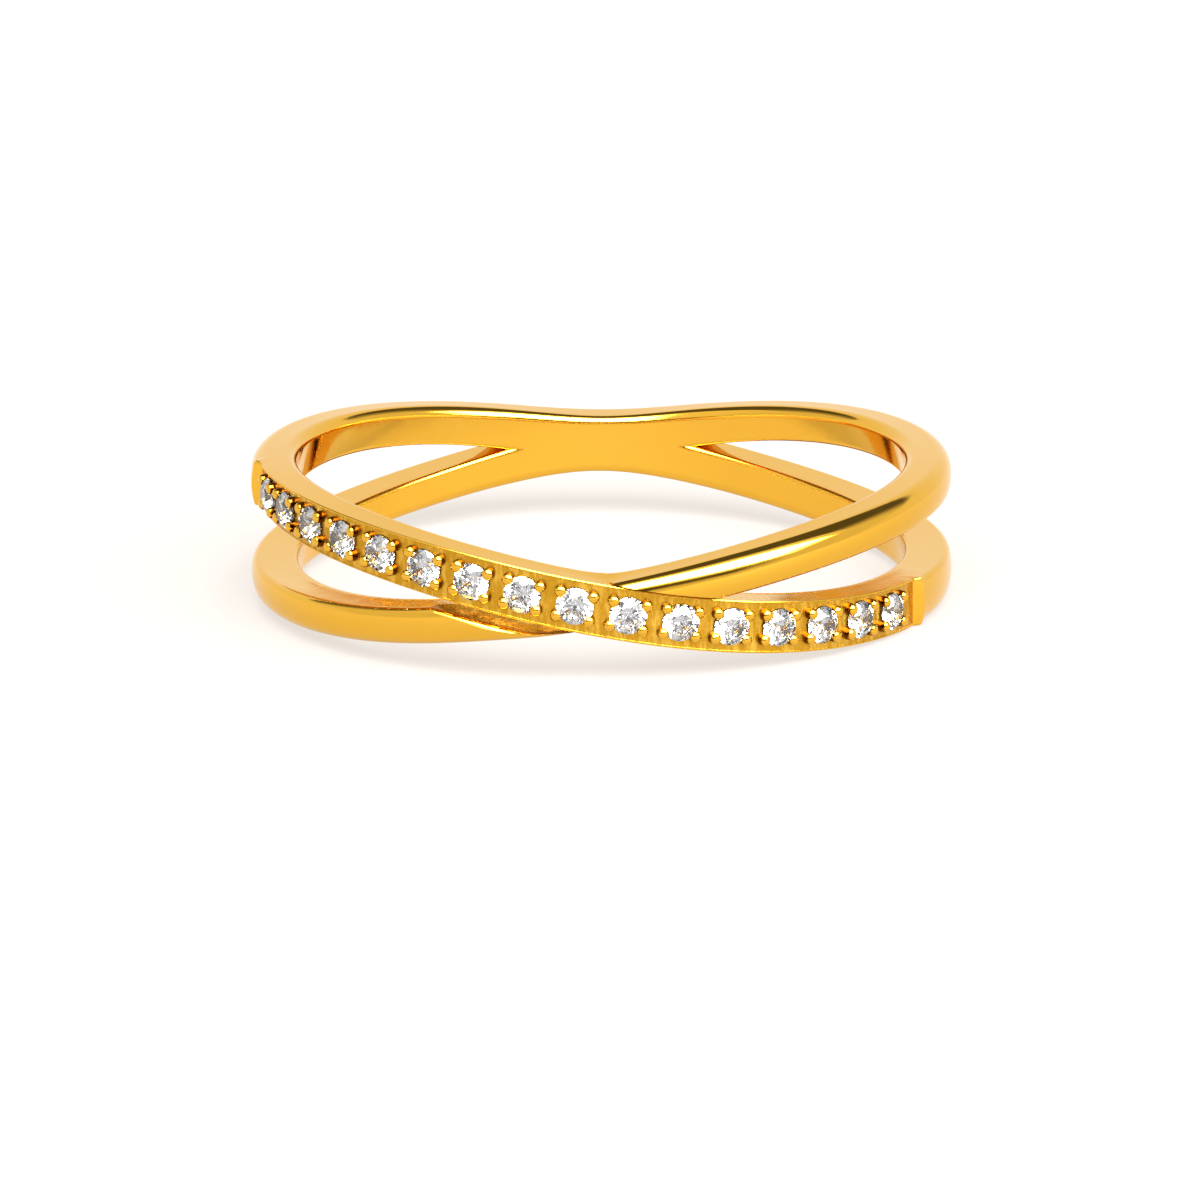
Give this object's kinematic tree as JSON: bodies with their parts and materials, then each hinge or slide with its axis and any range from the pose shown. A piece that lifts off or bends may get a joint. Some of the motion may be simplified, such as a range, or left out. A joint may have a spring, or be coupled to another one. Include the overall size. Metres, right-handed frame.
{
  "type": "crossover ring",
  "caption": "Crossover finger ring of polished yellow gold: a plain band and a band with a row of prong-set round stones cross at the front and run together at the back.",
  "frame": {"origin": "on the surface that the ring lies on, under the middle of the finger hole", "axes": "+Z runs along the finger hole, up from the surface; the crossing of the two bands faces -Y; +X is to the right as the crossing is seen"},
  "size_m": [0.02, 0.02, 0.0043],
  "materials": {
    "gold": "polished yellow gold",
    "stone": "polished clear brilliant"
  },
  "bodies": {
    "root": {"band": "gold", "stone_01": "stone", "stone_02": "stone", "stone_03": "stone", "stone_04": "stone", "stone_05": "stone", "stone_06": "stone", "stone_07": "stone", "stone_08": "stone", "stone_09": "stone", "stone_10": "stone", "stone_11": "stone", "stone_12": "stone", "stone_13": "stone", "stone_14": "stone", "stone_15": "stone", "stone_16": "stone"}
  },
  "joints": []
}
